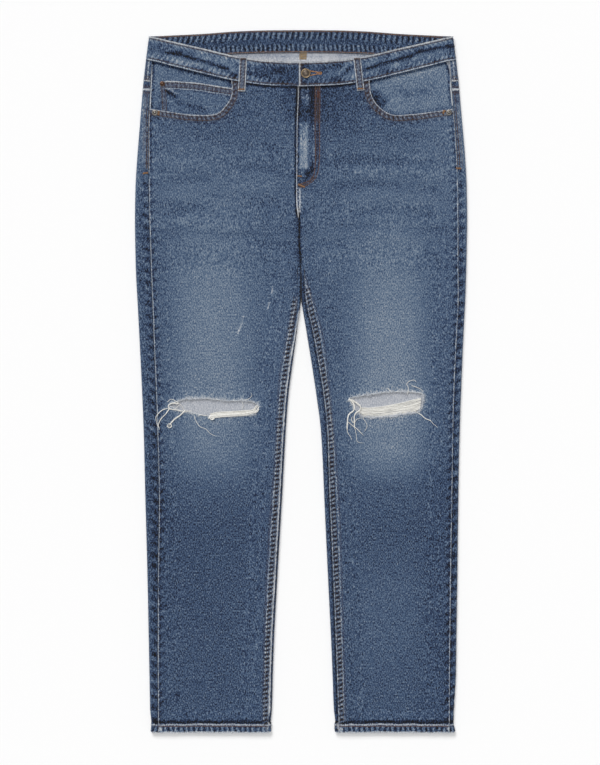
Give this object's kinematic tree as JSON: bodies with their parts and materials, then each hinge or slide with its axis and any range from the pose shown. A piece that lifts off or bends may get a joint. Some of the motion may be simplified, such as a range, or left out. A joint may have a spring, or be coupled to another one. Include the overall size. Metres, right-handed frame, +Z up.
{
  "type": "ripped jeans laid flat",
  "caption": "Straight-leg five-pocket blue denim jeans with ripped, frayed knees, buttoned and laid flat with the front up.",
  "frame": {"origin": "centre of the floor area the jeans cover, on the floor under them", "axes": "+Y from the hems to the waist, +X towards the wearer's left leg, +Z up from the floor through the front"},
  "size_m": [0.5178, 1.095, 0.0117],
  "materials": {
    "denim": "mid-blue stone-washed right-hand twill with a light and dark grain",
    "facing_denim": "paler washed denim twill",
    "zip_tape": "woven navy zip tape with a brass chain",
    "zip_brass": "plain die-cast brass",
    "button_brass": "antiqued dark brass with a worn rim",
    "rivet_copper": "dull antiqued copper",
    "rivet_nickel": "worn nickel",
    "cotton_yarn": "undyed frayed cotton weft yarn"
  },
  "bodies": {
    "root": {"right_front_panel": "denim", "left_front_panel": "denim", "right_back_panel": "denim", "left_back_panel": "denim", "right_back_yoke": "denim", "left_back_yoke": "denim", "coin_pocket": "denim", "right_back_pocket": "denim", "left_back_pocket": "denim", "waistband": "denim", "belt_loop_front_right": "denim", "belt_loop_front_left": "denim", "belt_loop_side_right": "denim", "belt_loop_side_left": "denim", "belt_loop_center_back": "denim", "right_pocket_facing": "facing_denim", "left_pocket_facing": "facing_denim", "fly_zip": "zip_tape", "zip_slider": "zip_brass", "shank_button": "button_brass", "rivet_coin_pocket": "rivet_copper", "rivet_right_pocket": "rivet_nickel", "rivet_left_pocket": "rivet_nickel", "right_knee_yarns": "cotton_yarn", "left_knee_yarns": "cotton_yarn", "right_knee_threads": "cotton_yarn", "left_knee_threads": "cotton_yarn"}
  },
  "joints": []
}
